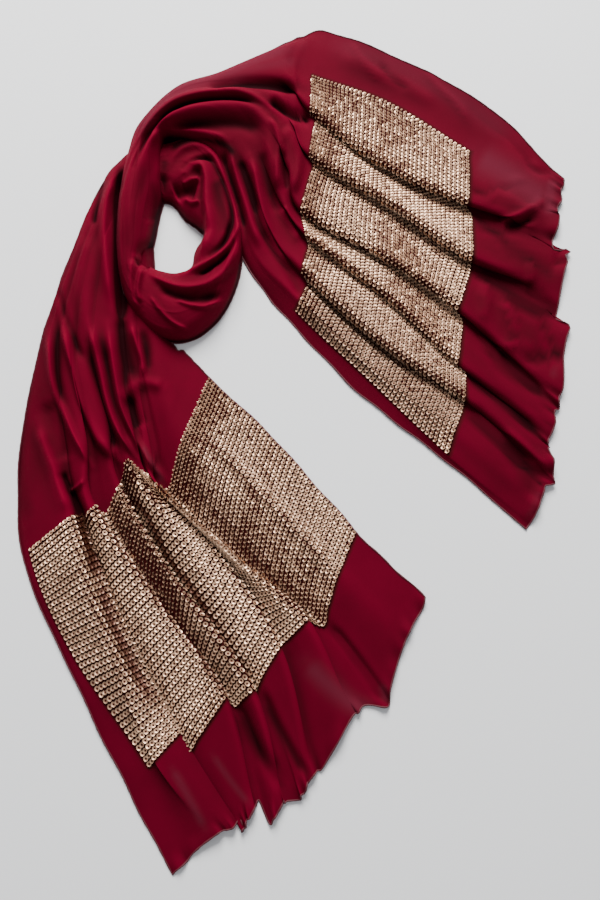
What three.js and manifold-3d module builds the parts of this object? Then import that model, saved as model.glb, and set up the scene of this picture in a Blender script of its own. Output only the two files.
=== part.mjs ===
// A long maroon headscarf (hijab) laid out flat in a loop: one rectangular panel of thin georgette whose
// ends open out into pleats, with a band of sequins across each end. Millimetres, +Z up, resting on z = 0.
// +X runs towards the far hem, at the right, and +Y away from the near hem, at the bottom.
import * as THREE from 'three';
import Module from 'manifold-3d';
import { mergeVertices } from 'three/addons/utils/BufferGeometryUtils.js';

// Driving dimensions
const WALL = 2.4; // cloth wall of the opened ends, with its creases
const SEAM_GAP = 0.4; // between neighbouring stretches of the panel
const LAYER_GAP = 0.4; // between a stretch and what it lies on
const BAND_GAP = 0.35; // between the cloth and the sequins sewn on it
const BAND_WALL = 1.3; // two overlapping sequins and their thread
const ROLL = 7; // how far the top of a pleat lies back from its turned edge
const LIP_SHARE = 0.55; // height of a pleat's turned edge, as a share of its top
const HEAP_POWER = 2.6; // how square the round of a gathered stretch is
const CENTRE = [1.496, 44.952]; // middle of the laid scarf in the tables below, moved onto the origin

// Steps of the meshes
const ROWS_PER_STATION = 3; // along an opened end
const HEAP_ROWS = 2; // along a gathered stretch, between two stations
const RISE_STEPS = 3; // across a pleat, from its foot to its top
const LOOP_COLUMNS = 18; // across the neck loop
const STATION_LENGTH = 110; // about the distance between two stations, to turn a gap into a share
const CREST_STEP = 0.05; // share of a station, each way, over which a crest's direction is taken
const FOOT_PAST_CREST = 1.5; // least distance of a pleat's foot past its turned edge

// Stretch A, from under the crossing to the near hem. hill is the height of the gathered heap at a
// station and pleat the height of a full pleat there.
const STATIONS_A = [
  { at: 'loop start', hill: 20, pleat: 2 },
  { at: 'under arc', hill: 18, pleat: 3 },
  { at: 'upper', hill: 19, pleat: 5 },
  { at: 'waist', hill: 19, pleat: 7 },
  { at: 'throat', hill: 15, pleat: 9 },
  { at: 'spread', hill: 6, pleat: 12 },
  { at: 'band top', hill: 2, pleat: 14 },
  { at: 'band middle', hill: 0, pleat: 13 },
  { at: 'band foot', hill: 0, pleat: 12 },
  { at: 'hem', hill: 0, pleat: 7 },
];
const THROAT_A = 4;
const BAND_TOP_A = 6;
const BAND_FOOT_A = 8;
const HEM_A = 9;

// One row for each fold line across the panel, from one side edge to the other. lift is its height as a
// share of the station's pleat; x and y give its place at each station of STATIONS_A.
const FOLDS_A = [
  { fold: 'side edge', lift: 0,
    x: [-167, -197, -240, -274, -304, -322, -310, -256, -190, -132],
    y: [374, 383, 337, 244, 135, -1, -122, -235, -357, -455] },
  { fold: 'band edge', lift: 0.3,
    x: [-167, -195, -238, -270, -299, -314, -302, -249, -161, -114],
    y: [370, 379, 334, 243, 133, -2, -114, -227, -347, -434] },
  { fold: 'crest 1', lift: 1,
    x: [-166, -193, -234, -264, -289, -277, -256, -203, -144, -77],
    y: [364, 373, 330, 243, 130, -10, -79, -206, -329, -409] },
  { fold: 'foot 2', lift: 0.1,
    x: [-166, -191, -231, -261, -284, -273, -247, -198, -127, -64],
    y: [361, 371, 328, 243, 128, -16, -84, -220, -346, -417] },
  { fold: 'crest 2', lift: 1,
    x: [-166, -189, -225, -251, -269, -242, -230, -152, -78, -49],
    y: [354, 364, 322, 242, 126, 7, -65, -177, -274, -389] },
  { fold: 'foot 3', lift: 0.1,
    x: [-165, -187, -222, -248, -263, -236, -219, -147, -70, -35],
    y: [350, 360, 320, 242, 123, 0, -73, -186, -285, -406] },
  { fold: 'crest 3', lift: 0.9,
    x: [-165, -183, -216, -238, -248, -220, -203, -142, -48, -19],
    y: [343, 353, 315, 240, 124, 25, -40, -138, -266, -385] },
  { fold: 'foot 4', lift: 0.1,
    x: [-165, -182, -213, -234, -241, -217, -203, -140, -47, -1],
    y: [339, 351, 312, 240, 122, 21, -36, -145, -269, -380] },
  { fold: 'ridge 4', lift: 0.8,
    x: [-164, -179, -208, -227, -230, -209, -196, -120, -36, 6],
    y: [335, 345, 308, 240, 123, 40, -13, -127, -246, -367] },
  { fold: 'crest 4', lift: 0.75,
    x: [-164, -177, -203, -218, -213, -186, -169, -104, -21, 12],
    y: [330, 339, 303, 239, 118, 8, -35, -103, -222, -358] },
  { fold: 'foot 5', lift: 0.3,
    x: [-164, -176, -201, -214, -206, -183, -168, -101, -16, 14],
    y: [327, 336, 300, 239, 113, 4, -37, -105, -217, -360] },
  { fold: 'crest 5', lift: 1,
    x: [-164, -173, -196, -207, -196, -169, -156, -68, 10, 55],
    y: [324, 331, 296, 238, 113, -7, -46, -126, -192, -300] },
  { fold: 'foot 6', lift: 0,
    x: [-164, -172, -193, -202, -189, -166, -150, -64, 26, 88],
    y: [321, 326, 293, 238, 106, 3, -44, -133, -201, -295] },
  { fold: 'ridge 6', lift: 0.85,
    x: [-164, -171, -187, -191, -172, -152, -134, -50, 42, 113],
    y: [316, 319, 291, 238, 118, 49, 11, -66, -147, -224] },
  { fold: 'far side edge', lift: 0,
    x: [-164, -171, -179, -178, -149, -133, -107, -26, 64, 139],
    y: [306, 308, 287, 236, 126, 115, 87, 8, -95, -168] },
];

// Stretch B, from the end of the neck loop over the crossing to the far hem.
const STATIONS_B = [
  { at: 'loop end', hill: 36, pleat: 3 },
  { at: 'turn', hill: 40, pleat: 4 },
  { at: 'arc start', hill: 42, pleat: 5 },
  { at: 'arc', hill: 34, pleat: 7 },
  { at: 'shoulder', hill: 26, pleat: 9 },
  { at: 'yoke', hill: 16, pleat: 12 },
  { at: 'band top', hill: 5, pleat: 14 },
  { at: 'band middle', hill: 1, pleat: 14 },
  { at: 'band foot', hill: 0, pleat: 13 },
  { at: 'hem', hill: 0, pleat: 8 },
];
const YOKE_B = 5;
const BAND_TOP_B = 6;
const BAND_FOOT_B = 8;
const HEM_B = 9;

const FOLDS_B = [
  { fold: 'side edge', lift: 0,
    x: [-210, -198, -153, -95, -21, 4, 38, 139, 240, 322],
    y: [362, 401, 457, 484, 526, 537, 543, 499, 434, 338] },
  { fold: 'band edge', lift: 0.35,
    x: [-207, -194, -152, -96, -30, -9, 15, 109, 209, 316],
    y: [362, 400, 449, 475, 494, 490, 477, 441, 373, 306] },
  { fold: 'crest 1', lift: 1,
    x: [-203, -191, -150, -97, -34, -9, 13, 102, 204, 310],
    y: [363, 399, 440, 465, 469, 455, 424, 349, 299, 276] },
  { fold: 'foot 2', lift: 0.1,
    x: [-202, -189, -150, -97, -34, -9, 19, 105, 209, 325],
    y: [363, 397, 438, 461, 460, 445, 419, 344, 293, 262] },
  { fold: 'crest 2', lift: 1,
    x: [-198, -187, -149, -98, -33, -9, 11, 103, 206, 312],
    y: [363, 396, 431, 452, 437, 403, 362, 299, 228, 199] },
  { fold: 'foot 3', lift: 0.1,
    x: [-197, -186, -147, -98, -36, -9, 16, 107, 205, 323],
    y: [363, 396, 428, 447, 427, 393, 357, 295, 221, 180] },
  { fold: 'crest 3', lift: 1,
    x: [-193, -183, -146, -97, -42, -15, 1, 103, 186, 302],
    y: [365, 395, 420, 434, 400, 346, 291, 227, 164, 66] },
  { fold: 'foot 4', lift: 0.1,
    x: [-192, -182, -146, -97, -45, -18, 2, 105, 193, 299],
    y: [365, 393, 417, 429, 390, 334, 285, 223, 156, 56] },
  { fold: 'crest 4', lift: 0.8,
    x: [-187, -178, -143, -97, -51, -25, 8, 100, 185, 289],
    y: [366, 392, 410, 415, 370, 305, 256, 183, 100, 20] },
  { fold: 'foot 5', lift: 0.1,
    x: [-186, -177, -143, -97, -55, -29, 10, 103, 193, 284],
    y: [366, 392, 408, 411, 363, 294, 250, 178, 92, 11] },
  { fold: 'crest 5', lift: 0.9,
    x: [-180, -173, -141, -97, -62, -37, 2, 94, 192, 288],
    y: [367, 391, 401, 399, 343, 269, 211, 122, 56, -23] },
  { fold: 'foot 6', lift: 0.1,
    x: [-179, -172, -139, -97, -66, -41, 9, 97, 189, 281],
    y: [367, 391, 398, 395, 338, 259, 202, 118, 46, -36] },
  { fold: 'ridge 6', lift: 0.7,
    x: [-173, -167, -137, -95, -74, -53, 0, 87, 178, 270],
    y: [369, 389, 391, 383, 319, 237, 177, 90, 19, -62] },
  { fold: 'far band edge', lift: 0.3,
    x: [-170, -165, -135, -95, -77, -59, -6, 80, 170, 260],
    y: [369, 388, 387, 375, 306, 233, 167, 82, -7, -82] },
  { fold: 'far side edge', lift: 0,
    x: [-167, -161, -136, -103, -86, -66, -18, 72, 165, 255],
    y: [369, 386, 379, 357, 294, 230, 162, 65, -11, -91] },
];

// The neck loop, clockwise from the crossing, as lines across it from the outer to the inner edge.
const LOOP_SECTIONS = [
  { outer: [-165, 384], inner: [-162, 307], height: 20 },
  { outer: [-126, 391], inner: [-151, 300], height: 22 },
  { outer: [-89, 357], inner: [-139, 284], height: 24 },
  { outer: [-77, 311], inner: [-124, 273], height: 26 },
  { outer: [-68, 259], inner: [-115, 254], height: 27 },
  { outer: [-75, 202], inner: [-123, 235], height: 28 },
  { outer: [-98, 155], inner: [-130, 218], height: 28 },
  { outer: [-132, 130], inner: [-144, 214], height: 28 },
  { outer: [-168, 134], inner: [-158, 215], height: 29 },
  { outer: [-195, 161], inner: [-172, 222], height: 31 },
  { outer: [-211, 195], inner: [-181, 232], height: 34 },
  { outer: [-218, 239], inner: [-176, 252], height: 35 },
  { outer: [-219, 284], inner: [-171, 284], height: 36 },
  { outer: [-216, 323], inner: [-166, 317], height: 36 },
  { outer: [-210, 362], inner: [-167, 369], height: 36 },
];

// Folds that run round the loop: where each lies across it at its start and end, and how deep it is.
const LOOP_FOLDS = [
  { from: 0.2, to: 0.3, width: 0.07, depth: 3 },
  { from: 0.5, to: 0.46, width: 0.08, depth: 4 },
  { from: 0.62, to: 0.78, width: 0.07, depth: 3.5 },
];

const COLOURS = { cloth: '#7a0a28', sequins: '#c9a17e' };

const wasm = await Module();
wasm.setup();

// Value of a table row at station number v, on a smooth curve through its stations.
function along(values, v) {
  const last = values.length - 1;
  const i = Math.min(Math.floor(v), last - 1);
  const t = v - i;
  const p1 = values[i];
  const p2 = values[i + 1];
  const p0 = i > 0 ? values[i - 1] : 2 * p1 - p2;
  const p3 = i + 2 <= last ? values[i + 2] : 2 * p2 - p1;
  const bend = (2 * p0 - 5 * p1 + 4 * p2 - p3) * t + (3 * p1 - p0 - 3 * p2 + p3) * t * t;
  return p1 + 0.5 * t * (p2 - p0 + bend);
}

// Height of a rounded heap at share u of the way across it, as a share of its full height.
function heap(u) {
  return Math.sqrt(Math.max(0, 1 - Math.abs(2 * u - 1) ** HEAP_POWER));
}

function mix(a, b, t) {
  return a + (b - a) * t;
}

// Where a pleat's foot lies at station v: at its place in the table, or just past the crest before it
// where the table has it further back, so that the wall never crosses itself.
function footAt(stretch, i, v) {
  const at = (k, station) => [along(stretch.folds[k].x, station), along(stretch.folds[k].y, station)];
  const last = stretch.stations.length - 1;
  const [fx, fy] = at(i, v);
  const [cx, cy] = at(i - 1, v);
  const [bx, by] = at(i - 2, v);
  const [ax, ay] = at(i - 1, Math.max(0, v - CREST_STEP));
  const [dx, dy] = at(i - 1, Math.min(last, v + CREST_STEP));
  const length = Math.hypot(dx - ax, dy - ay);
  let [nx, ny] = [(dy - ay) / length, (ax - dx) / length];
  if ((cx - bx) * nx + (cy - by) * ny < 0) [nx, ny] = [-nx, -ny];
  const push = Math.max(0, FOOT_PAST_CREST - (fx - cx) * nx - (fy - cy) * ny);
  return [fx + nx * push, fy + ny * push];
}

// Points across a stretch at station v, from one side edge to the other, as [x, y, height].
function across(stretch, v) {
  const hill = along(stretch.stations.map((s) => s.hill), v);
  const pleat = along(stretch.stations.map((s) => s.pleat), v);
  const lines = stretch.folds.map((f, i) => {
    const [x, y] = f.fold.startsWith('foot') ? footAt(stretch, i, v) : [along(f.x, v), along(f.y, v)];
    return [x, y, f.lift * pleat, f.fold];
  });
  const knots = [];
  lines.forEach(([x, y, lift, name], i) => {
    if (!name.startsWith('crest')) {
      knots.push([x, y, lift, name]);
      return;
    }
    const [px, py] = lines[i - 1];
    const back = Math.min(0.4, ROLL / Math.hypot(x - px, y - py));
    knots.push([mix(x, px, back), mix(y, py, back), lift, 'top']);
    knots.push([x, y, lift * LIP_SHARE, 'lip']);
  });
  const points = [];
  for (let k = 1; k < knots.length; k += 1) {
    const [ax, ay, az] = knots[k - 1];
    const [bx, by, bz, name] = knots[k];
    const steps = name === 'lip' || name.startsWith('foot') ? 1 : RISE_STEPS;
    for (let s = k === 1 ? 0 : 1; s <= steps; s += 1) {
      const t = s / steps;
      const swell = bz > az ? mix(t, Math.sin((Math.PI / 2) * t), 0.6) : t;
      points.push([mix(ax, bx, t), mix(ay, by, t), mix(az, bz, swell)]);
    }
  }
  const reach = [0];
  for (let k = 1; k < points.length; k += 1) {
    const [ax, ay] = points[k - 1];
    const [bx, by] = points[k];
    reach.push(reach[k - 1] + Math.hypot(bx - ax, by - ay));
  }
  const width = reach[reach.length - 1];
  return points.map(([x, y, z], k) => [x, y, WALL + z + hill * heap(reach[k] / width)]);
}

// Rows of points between two stations.
function rows(stretch, from, to, perStation) {
  const count = Math.round((to - from) * perStation);
  return Array.from({ length: count + 1 }, (_, i) => across(stretch, mix(from, to, i / count)));
}

// A closed solid between an upper and a lower grid of points of the same size.
function solidBetween(upper, lower) {
  const high = upper.length;
  const wide = upper[0].length;
  const position = [...upper.flat(2), ...lower.flat(2)];
  const top = (i, j) => i * wide + j;
  const bottom = (i, j) => high * wide + i * wide + j;
  const index = [];
  const quad = (a, b, c, d) => index.push(a, b, c, a, c, d);
  for (let i = 0; i < high - 1; i += 1) {
    for (let j = 0; j < wide - 1; j += 1) {
      quad(top(i, j), top(i + 1, j), top(i + 1, j + 1), top(i, j + 1));
      index.push(bottom(i, j), bottom(i + 1, j + 1), bottom(i + 1, j));
      index.push(bottom(i, j), bottom(i, j + 1), bottom(i + 1, j + 1));
    }
    quad(top(i, 0), bottom(i, 0), bottom(i + 1, 0), top(i + 1, 0));
    quad(top(i, wide - 1), top(i + 1, wide - 1), bottom(i + 1, wide - 1), bottom(i, wide - 1));
  }
  for (let j = 0; j < wide - 1; j += 1) {
    quad(top(0, j), top(0, j + 1), bottom(0, j + 1), bottom(0, j));
    quad(top(high - 1, j), bottom(high - 1, j), bottom(high - 1, j + 1), top(high - 1, j + 1));
  }
  const geometry = new THREE.BufferGeometry();
  geometry.setAttribute('position', new THREE.Float32BufferAttribute(position, 3));
  geometry.setIndex(turnsLeft(upper) ? index : index.reverse());
  return geometry;
}

// True where a grid's rows follow each other to the left of its first row's direction.
function turnsLeft(grid) {
  const [ax, ay] = grid[0][0];
  const [bx, by] = grid[0][grid[0].length - 1];
  const [cx, cy] = grid[1][0];
  return (cx - ax) * (by - ay) - (cy - ay) * (bx - ax) > 0;
}

// The opened cloth of one end: a wall whose underside rests on the surface along every pleat's foot.
function clothWall(grid) {
  const lower = grid.map((row) => row.map(([x, y, z]) => [x, y, Math.max(0, z - WALL)]));
  return solidBetween(grid, lower);
}

// A gathered stretch: its hidden layers are one solid with a flat underside.
function clothHeap(grid) {
  return solidBetween(grid, grid.map((row) => row.map(([x, y]) => [x, y, 0])));
}

// The point at a distance beyond a, on the line that comes to it from b.
function beyond([ax, ay, az], [bx, by], distance) {
  const length = Math.hypot(ax - bx, ay - by);
  const share = distance / length;
  return [ax + (ax - bx) * share, ay + (ay - by) * share, az];
}

// The same grid, larger by the gap that a stretch lying on it keeps, over it and on all four sides.
function grown(grid, gap) {
  const wider = grid.map((row) => {
    const [a, b] = [row[0], row[row.length - 1]];
    return [beyond(a, b, 2 * gap), ...row.slice(1, -1), beyond(b, a, 2 * gap)];
  });
  const high = wider.length;
  const first = wider[0].map((p, j) => beyond(p, wider[1][j], gap));
  const last = wider[high - 1].map((p, j) => beyond(p, wider[high - 2][j], gap));
  return [first, ...wider.slice(1, -1), last].map((row) => row.map(([x, y, z]) => [x, y, z + gap]));
}

// Sequins sewn over the cloth between two stations: a thin wall made from the cloth's own points.
function sequinBand(grid) {
  const raise = (by) => grid.map((row) => row.map(([x, y, z]) => [x, y, z + by]));
  return solidBetween(raise(BAND_GAP + BAND_WALL), raise(BAND_GAP));
}

// Rows across the neck loop, with its folds pressed into the rounded top.
function loopGrid() {
  const last = LOOP_SECTIONS.length - 1;
  const value = (key, part) => LOOP_SECTIONS.map((s) => (part === undefined ? s[key] : s[key][part]));
  const count = last * HEAP_ROWS;
  return Array.from({ length: count + 1 }, (_, i) => {
    const v = (i / count) * last;
    const [ox, oy] = [along(value('outer', 0), v), along(value('outer', 1), v)];
    const [ix, iy] = [along(value('inner', 0), v), along(value('inner', 1), v)];
    const height = along(value('height'), v);
    return Array.from({ length: LOOP_COLUMNS + 1 }, (__, j) => {
      const u = (1 - Math.cos((Math.PI * j) / LOOP_COLUMNS)) / 2;
      const dent = LOOP_FOLDS.reduce((sum, f) => {
        const off = (u - mix(f.from, f.to, v / last)) / f.width;
        return sum + f.depth * Math.exp(-off * off);
      }, 0);
      return [mix(ox, ix, u), mix(oy, iy, u), WALL + (height - dent) * heap(u)];
    });
  });
}

function toManifold(geometry) {
  const bare = geometry.clone();
  bare.deleteAttribute('normal');
  bare.deleteAttribute('uv');
  const merged = mergeVertices(bare, 1e-4);
  return new wasm.Manifold(new wasm.Mesh({
    numProp: 3,
    vertProperties: merged.attributes.position.array,
    triVerts: new Uint32Array(merged.index.array),
  }));
}

function fromManifold(solid) {
  const mesh = solid.getMesh();
  const geometry = new THREE.BufferGeometry();
  geometry.setAttribute('position', new THREE.BufferAttribute(new Float32Array(mesh.vertProperties), 3));
  geometry.setIndex(new THREE.BufferAttribute(new Uint32Array(mesh.triVerts), 1));
  return geometry;
}

// A heap with the stretches that it lies on cut out of its underside.
function laidOver(grid, below) {
  let solid = toManifold(clothHeap(grid));
  below.forEach((lower) => {
    solid = solid.subtract(toManifold(clothHeap(grown(lower, LAYER_GAP))));
  });
  return fromManifold(solid);
}

const clothMaterial = new THREE.MeshStandardMaterial({ color: COLOURS.cloth, roughness: 0.85, metalness: 0 });
const sequinMaterial = new THREE.MeshStandardMaterial({ color: COLOURS.sequins, roughness: 0.35, metalness: 0.7 });

function piece(name, geometry, material) {
  const mesh = new THREE.Mesh(geometry, material.clone());
  mesh.name = name;
  return mesh;
}

const stretchA = { stations: STATIONS_A, folds: FOLDS_A };
const stretchB = { stations: STATIONS_B, folds: FOLDS_B };
const seam = SEAM_GAP / STATION_LENGTH;

const underGrid = rows(stretchA, 0, THROAT_A, HEAP_ROWS);
const endAGrid = rows(stretchA, THROAT_A + seam, HEM_A, ROWS_PER_STATION);
const loop = loopGrid();
const arcGrid = rows(stretchB, seam, YOKE_B, HEAP_ROWS);
const endBGrid = rows(stretchB, YOKE_B + seam, HEM_B, ROWS_PER_STATION);
const throatGrid = rows(stretchA, THROAT_A, THROAT_A + 1, ROWS_PER_STATION);

const bandAColumns = (row) => row.slice(RISE_STEPS, -1);
const bandBColumns = (row) => row.slice(RISE_STEPS, -RISE_STEPS);
const bandAGrid = rows(stretchA, BAND_TOP_A, BAND_FOOT_A, ROWS_PER_STATION).map(bandAColumns);
const bandBGrid = rows(stretchB, BAND_TOP_B, BAND_FOOT_B, ROWS_PER_STATION).map(bandBColumns);

const scarf = new THREE.Group();
scarf.add(
  piece('under_strand', clothHeap(underGrid), clothMaterial),
  piece('end_a_fan', clothWall(endAGrid), clothMaterial),
  piece('neck_loop', laidOver(loop, [underGrid, throatGrid]), clothMaterial),
  piece('over_arc', laidOver(arcGrid, [underGrid, loop]), clothMaterial),
  piece('end_b_fan', clothWall(endBGrid), clothMaterial),
  piece('sequin_band_a', sequinBand(bandAGrid), sequinMaterial),
  piece('sequin_band_b', sequinBand(bandBGrid), sequinMaterial),
);
scarf.position.set(-CENTRE[0], -CENTRE[1], 0);

export default scarf;
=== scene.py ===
"""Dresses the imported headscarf: thin georgette, rows of sequins, rolled edges, a plain stage."""
import math

import bpy
import numpy as np
from bpy.props import FloatProperty, FloatVectorProperty, IntProperty, PointerProperty
from mathutils import Euler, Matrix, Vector


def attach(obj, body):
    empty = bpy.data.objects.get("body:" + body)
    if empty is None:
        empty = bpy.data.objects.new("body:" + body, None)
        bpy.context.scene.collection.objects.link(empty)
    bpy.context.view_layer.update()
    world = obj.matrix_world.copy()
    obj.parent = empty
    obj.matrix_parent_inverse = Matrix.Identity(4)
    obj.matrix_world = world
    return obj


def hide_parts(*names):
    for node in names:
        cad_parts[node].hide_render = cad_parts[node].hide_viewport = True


bl_info = {
    "name": "Laid headscarf",
    "version": (1, 0, 0),
    "blender": (4, 5, 0),
    "location": "View3D > Sidebar > Scarf",
    "description": "Builds a sequinned georgette headscarf that lies in a loop",
    "category": "Add Mesh",
}

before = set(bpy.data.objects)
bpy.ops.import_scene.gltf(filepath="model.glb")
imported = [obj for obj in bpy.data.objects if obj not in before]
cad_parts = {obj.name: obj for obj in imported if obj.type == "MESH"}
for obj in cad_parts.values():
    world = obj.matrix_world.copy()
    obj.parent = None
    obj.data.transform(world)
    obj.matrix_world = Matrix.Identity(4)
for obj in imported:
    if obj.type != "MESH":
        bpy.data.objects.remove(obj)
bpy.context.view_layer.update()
BODY = "root"
MM = 0.001
CENTIMETRE = 10.0  # millimetres

# ---------------------------------------------------------------------------------------------------
# Tables, in millimetres, before the laid scarf's middle is moved onto the origin

def table(columns, *rows):
    """The rows of a table, each with its values under the names of the columns."""
    return [dict(zip(columns.split(), values)) for values in rows]


CENTRE = np.array([1.496, 44.952])

# Stretch A, from under the crossing to the near hem: heights of the heap and of a full pleat.
STATIONS_A = table(
    "at hill pleat lap",
    ("loop start", 13, 0, 0),
    ("under arc", 16, 0, 0),
    ("upper", 19, 0, 0),
    ("waist", 18, 1, 0),
    ("throat", 14, 3, 0.1),
    ("spread", 6, 9, 0.6),
    ("band top", 2, 14, 1),
    ("band middle", 0, 13, 1),
    ("band foot", 0, 11, 0.9),
    ("hem", 0, 5, 0.4),
)
HEM_A = 9

# A row for each fold line: its kind, its lift as a share of the pleat, how crisp its turned edge is,
# and x, y at each station.
FOLDS_A = table(
    "fold lift crisp x y",
    ("side edge", 0, 1,
     [-167, -197, -240, -274, -304, -322, -310, -256, -190, -132],
     [374, 383, 337, 244, 135, -1, -122, -235, -357, -455]),
    ("band edge", 0.3, 1,
     [-167, -195, -238, -270, -299, -314, -302, -249, -161, -114],
     [370, 379, 334, 243, 133, -2, -114, -227, -347, -434]),
    ("crest 1", 1, 0.15,
     [-166, -193, -234, -264, -289, -277, -256, -203, -144, -77],
     [364, 373, 330, 243, 130, -10, -79, -206, -329, -409]),
    ("foot 2", 0.1, 1,
     [-166, -191, -231, -261, -284, -273, -247, -198, -127, -64],
     [361, 371, 328, 243, 128, -16, -84, -220, -346, -417]),
    ("crest 2", 1, 1,
     [-166, -189, -225, -251, -269, -242, -230, -152, -78, -49],
     [354, 364, 322, 242, 126, 7, -65, -177, -274, -389]),
    ("foot 3", 0.1, 1,
     [-165, -187, -222, -248, -263, -236, -219, -147, -70, -35],
     [350, 360, 320, 242, 123, 0, -73, -186, -285, -406]),
    ("crest 3", 0.9, 1,
     [-165, -183, -216, -238, -248, -220, -203, -142, -48, -19],
     [343, 353, 315, 240, 124, 25, -40, -138, -266, -385]),
    ("foot 4", 0.1, 1,
     [-165, -182, -213, -234, -241, -217, -203, -140, -47, -1],
     [339, 351, 312, 240, 122, 21, -36, -145, -269, -380]),
    ("ridge 4", 0.8, 1,
     [-164, -179, -208, -227, -230, -209, -196, -120, -36, 6],
     [335, 345, 308, 240, 123, 40, -13, -127, -246, -367]),
    ("crest 4", 0.75, 0.5,
     [-164, -177, -203, -218, -213, -186, -169, -104, -21, 12],
     [330, 339, 303, 239, 118, 8, -35, -103, -222, -358]),
    ("foot 5", 0.3, 1,
     [-164, -176, -201, -214, -206, -183, -168, -101, -16, 14],
     [327, 336, 300, 239, 113, 4, -37, -105, -217, -360]),
    ("crest 5", 1, 1,
     [-164, -173, -196, -207, -196, -169, -156, -68, 10, 55],
     [324, 331, 296, 238, 113, -7, -46, -126, -192, -300]),
    ("foot 6", 0, 1,
     [-164, -172, -193, -202, -189, -166, -150, -64, 26, 88],
     [321, 326, 293, 238, 106, 3, -44, -133, -201, -295]),
    ("ridge 6", 0.85, 1,
     [-164, -171, -187, -191, -172, -152, -134, -50, 42, 113],
     [316, 319, 291, 238, 118, 49, 11, -66, -147, -224]),
    ("far side edge", 0, 1,
     [-164, -171, -179, -170, -150, -133, -107, -26, 64, 139],
     [306, 308, 287, 190, 128, 115, 87, 8, -95, -168]),
)

# Stretch B, from the end of the neck loop over the crossing to the far hem.
STATIONS_B = table(
    "at hill pleat lap",
    ("loop end", 35, 0, 0),
    ("turn", 38, 0, 0),
    ("arc start", 38, 0, 0),
    ("arc", 33, 0, 0),
    ("shoulder", 25, 1, 0.1),
    ("yoke", 15, 6, 0.5),
    ("band top", 5, 13, 1),
    ("band middle", 1, 14, 1),
    ("band foot", 0, 12, 0.8),
    ("hem", 0, 5, 0),
)

FOLDS_B = table(
    "fold lift crisp x y",
    ("side edge", 0, 1,
     [-210, -198, -153, -95, -21, 4, 38, 139, 240, 322],
     [362, 401, 457, 484, 526, 537, 543, 499, 434, 338]),
    ("band edge", 0.35, 1,
     [-207, -194, -152, -96, -30, -9, 15, 109, 209, 316],
     [362, 400, 449, 475, 494, 490, 477, 441, 373, 306]),
    ("crest 1", 1, 1,
     [-203, -191, -150, -97, -34, -9, 13, 102, 204, 310],
     [363, 399, 440, 465, 469, 455, 424, 349, 299, 276]),
    ("foot 2", 0.1, 1,
     [-202, -189, -150, -97, -34, -9, 19, 105, 209, 325],
     [363, 397, 438, 461, 460, 445, 419, 344, 293, 262]),
    ("crest 2", 1, 1,
     [-198, -187, -149, -98, -33, -9, 11, 103, 206, 312],
     [363, 396, 431, 452, 437, 403, 362, 299, 228, 199]),
    ("foot 3", 0.1, 1,
     [-197, -186, -147, -98, -36, -9, 16, 107, 205, 323],
     [363, 396, 428, 447, 427, 393, 357, 295, 221, 180]),
    ("crest 3", 1, 1,
     [-193, -183, -146, -97, -42, -15, 1, 103, 186, 302],
     [365, 395, 420, 434, 400, 346, 291, 227, 164, 66]),
    ("foot 4", 0.1, 1,
     [-192, -182, -146, -97, -45, -18, 2, 105, 193, 299],
     [365, 393, 417, 429, 390, 334, 285, 223, 156, 56]),
    ("crest 4", 0.8, 1,
     [-187, -178, -143, -97, -51, -25, 8, 100, 185, 289],
     [366, 392, 410, 415, 370, 305, 256, 183, 100, 20]),
    ("foot 5", 0.1, 1,
     [-186, -177, -143, -97, -55, -29, 10, 103, 193, 284],
     [366, 392, 408, 411, 363, 294, 250, 178, 92, 11]),
    ("crest 5", 0.9, 1,
     [-180, -173, -141, -97, -62, -37, 2, 94, 192, 288],
     [367, 391, 401, 399, 343, 269, 211, 122, 56, -23]),
    ("foot 6", 0.1, 1,
     [-179, -172, -139, -97, -66, -41, 9, 97, 189, 281],
     [367, 391, 398, 395, 338, 259, 202, 118, 46, -36]),
    ("ridge 6", 0.7, 1,
     [-173, -167, -137, -95, -74, -53, 0, 87, 178, 270],
     [369, 389, 391, 383, 319, 237, 177, 90, 19, -62]),
    ("far band edge", 0.3, 1,
     [-170, -165, -135, -95, -77, -59, -6, 80, 170, 260],
     [369, 388, 387, 375, 306, 233, 167, 82, -7, -82]),
    ("far side edge", 0, 1,
     [-167, -161, -136, -103, -86, -66, -18, 72, 165, 255],
     [369, 386, 379, 357, 294, 230, 162, 65, -11, -91]),
)

# The neck loop, clockwise from the crossing: its outer and inner edge and its height.
LOOP_SECTIONS = table(
    "outer inner height",
    ((-196, 372), (-192, 312), 16),
    ((-165, 384), (-162, 307), 20),
    ((-126, 391), (-151, 300), 22),
    ((-89, 357), (-139, 284), 24),
    ((-77, 311), (-124, 273), 26),
    ((-68, 259), (-115, 259), 27),
    ((-75, 202), (-126, 243), 28),
    ((-98, 155), (-130, 218), 28),
    ((-132, 130), (-144, 214), 28),
    ((-168, 134), (-158, 215), 29),
    ((-195, 161), (-175, 220), 31),
    ((-211, 195), (-186, 233), 34),
    ((-218, 239), (-176, 252), 35),
    ((-219, 284), (-171, 284), 36),
    ((-216, 323), (-166, 317), 36),
)
LOOP_STATIONS = len(LOOP_SECTIONS)
HEM_B = LOOP_STATIONS + 9

BAND_A = {"top": 6, "foot": 8, "from": "band edge", "to": "far side edge", "seed": 3}
BAND_B = {"top": LOOP_STATIONS + 6, "foot": LOOP_STATIONS + 8, "from": "band edge", "to": "far band edge",
          "seed": 4}

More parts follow.
